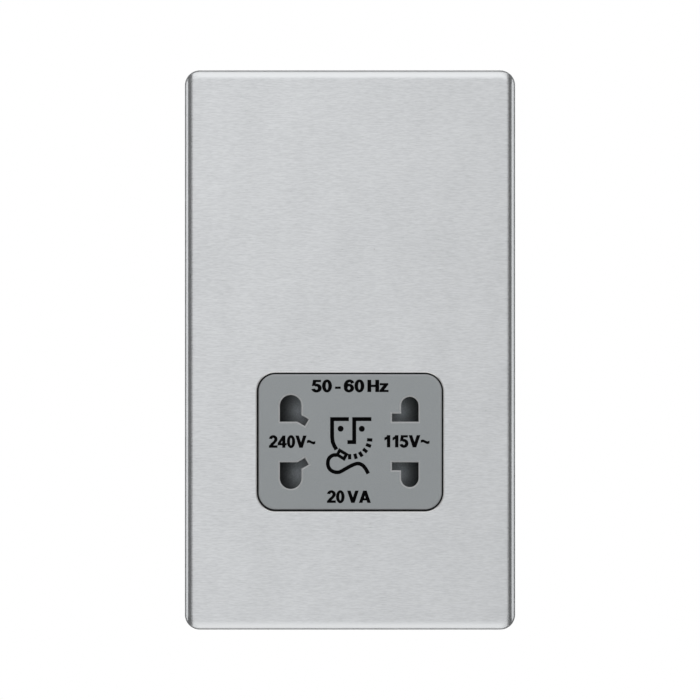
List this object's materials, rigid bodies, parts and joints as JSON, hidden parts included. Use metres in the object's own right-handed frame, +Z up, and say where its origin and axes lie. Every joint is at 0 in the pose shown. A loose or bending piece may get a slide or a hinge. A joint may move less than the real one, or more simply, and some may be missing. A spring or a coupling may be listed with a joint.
{
  "type": "shaver socket",
  "caption": "Flush dual-voltage shaver socket: screwless steel plate, grey insert with shuttered pin apertures, sliding shutter, contacts and isolating transformer.",
  "frame": {"origin": "midway between the two wall box fixings, in the plane of the wall", "axes": "+X to the right seen from the front, the front faces -Y, +Z up"},
  "size_m": [0.0862, 0.0421, 0.146],
  "materials": {
    "brushed_plate": "horizontally brushed stainless steel",
    "frame_plastic": "moulded black plastic, fine matt",
    "gasket_rubber": "closed-cell foam rubber",
    "insert_plastic": "moulded grey plastic, fine spark texture",
    "shutter_plastic": "moulded charcoal plastic",
    "spring_steel": "drawn spring wire",
    "contact_brass": "stamped strip",
    "carrier_plastic": "moulded off-white plastic",
    "housing_plastic": "moulded white plastic, fine matt",
    "screw_steel": "bright zinc plate",
    "lamination_steel": "varnished laminations",
    "bobbin_plastic": "moulded black plastic",
    "winding_copper": "enamelled copper wire",
    "winding_tape": "yellow polyester tape",
    "cutout_plastic": "glossy black case",
    "terminal_brass": "turned and milled brass"
  },
  "bodies": {
    "unit": {"front_plate": "brushed_plate", "mounting_frame": "frame_plastic", "gasket": "gasket_rubber", "socket_insert": "insert_plastic", "shutter_spring_left": "spring_steel", "shutter_spring_right": "spring_steel", "switch_strip_feed": "contact_brass", "switch_strip_load": "contact_brass", "contact_carrier": "carrier_plastic", "contact_240": "contact_brass", "contact_115": "contact_brass", "contact_common": "contact_brass", "link_live": "contact_brass", "link_switched": "contact_brass", "link_primary": "contact_brass", "link_neutral": "contact_brass", "rear_housing": "housing_plastic", "housing_screws": "screw_steel", "transformer_core_e": "lamination_steel", "transformer_core_i": "lamination_steel", "transformer_bobbin": "bobbin_plastic", "bobbin_pins": "contact_brass", "primary_winding": "winding_copper", "secondary_winding": "winding_copper", "primary_tape": "winding_tape", "secondary_tape": "winding_tape", "thermal_cutout": "cutout_plastic", "terminal_live": "terminal_brass", "terminal_neutral": "terminal_brass", "terminal_earth": "terminal_brass", "terminal_screws": "screw_steel", "earth_strap": "contact_brass"},
    "shutter": {"shutter_slider": "shutter_plastic", "switch_bridge": "contact_brass"}
  },
  "joints": [
    {"name": "shutter_slide", "type": "slide", "parent": "unit", "child": "shutter", "axis": [1, 0, 0], "range_m": [-0.0084, 0.0084], "stiffness_N_per_m": 120, "deforming": ["shutter_spring_left", "shutter_spring_right"]}
  ]
}
